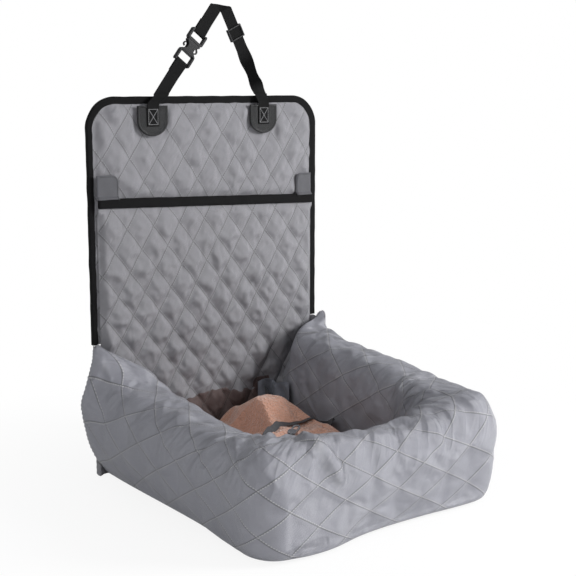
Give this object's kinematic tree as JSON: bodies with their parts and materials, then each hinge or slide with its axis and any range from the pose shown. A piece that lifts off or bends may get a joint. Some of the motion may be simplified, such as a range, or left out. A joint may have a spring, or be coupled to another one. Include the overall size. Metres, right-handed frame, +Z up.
{
  "type": "dog car seat",
  "caption": "Padded dog car seat: quilted bed with stuffed walls and a plush cushion, folding quilted back, buckled headrest strap and a clip-on tether.",
  "frame": {"origin": "middle of the bed's footprint, on the surface that the bed stands on", "axes": "+Z up along the back; -Y is the open front of the bed, +Y its back; +X is the bed's right side seen from the front"},
  "size_m": [0.5331, 0.54, 0.8541],
  "materials": {
    "quilted_cloth": "quilted satin-like Oxford cloth",
    "lining_cloth": "dull brown cloth",
    "black_cloth": "black bound cloth",
    "faux_leather": "embossed dark grey faux leather",
    "webbing": "woven black webbing",
    "buckle_plastic": "moulded black plastic",
    "plush": "short peach plush",
    "steel": "polished nickel plate"
  },
  "bodies": {
    "bed": {"bottom_cover": "black_cloth", "floor_pad": "lining_cloth", "left_wall": "quilted_cloth", "right_wall": "quilted_cloth", "front_wall": "quilted_cloth", "rear_wall": "quilted_cloth", "lining_strip": "lining_cloth", "plush_cushion": "plush", "tether_anchor": "webbing", "tether_strap": "webbing", "snap_eye": "steel"},
    "back": {"back_panel": "quilted_cloth", "edge_binding": "black_cloth", "pocket_panel": "quilted_cloth", "pocket_band": "black_cloth", "corner_patch_left": "faux_leather", "corner_patch_right": "faux_leather", "strap_tab_left": "faux_leather", "strap_tab_right": "faux_leather", "webbing_end_left": "webbing", "webbing_end_right": "webbing"},
    "head_strap": {"webbing_left": "webbing", "webbing_right": "webbing", "buckle_socket": "buckle_plastic", "buckle_plug": "buckle_plastic"},
    "left_prong": {"prong_left": "buckle_plastic"},
    "right_prong": {"prong_right": "buckle_plastic"},
    "slider": {"strap_adjuster": "buckle_plastic"},
    "hook": {"snap_hook": "steel"},
    "bolt": {"snap_bolt": "steel"}
  },
  "joints": [
    {"name": "back_fold", "type": "hinge", "parent": "bed", "child": "back", "pos_m": [0, 0.2464, 0.245], "axis": [1, 0, 0], "range_deg": [0, 90]},
    {"name": "head_strap_swing", "type": "hinge", "parent": "back", "child": "head_strap", "pos_m": [0, 0.2535, 0.69], "axis": [1, 0, 0], "range_deg": [-70, 10]},
    {"name": "left_prong_squeeze", "type": "hinge", "parent": "head_strap", "child": "left_prong", "pos_m": [-0.04133, 0.2535, 0.79009], "axis": [0, -1, 0], "range_deg": [0, 12], "stiffness_Nm_per_rad": 0.05},
    {"name": "right_prong_squeeze", "type": "hinge", "parent": "head_strap", "child": "right_prong", "pos_m": [-0.02556, 0.2535, 0.77811], "axis": [0, -1, 0], "range_deg": [-12, 0], "stiffness_Nm_per_rad": 0.05},
    {"name": "slider_travel", "type": "slide", "parent": "head_strap", "child": "slider", "axis": [0.4454, 0, -0.8953], "range_m": [-0.01, 0.02]},
    {"name": "hook_swivel", "type": "hinge", "parent": "bed", "child": "hook", "pos_m": [-0.031, -0.037, 0.1106], "axis": [0.8197, 0.4925, 0.2924], "continuous": true},
    {"name": "bolt_slide", "type": "slide", "parent": "hook", "child": "bolt", "axis": [-0.8197, -0.4925, -0.2924], "range_m": [0, 0.0085], "stiffness_N_per_m": 80, "springref_m": -0.003}
  ]
}
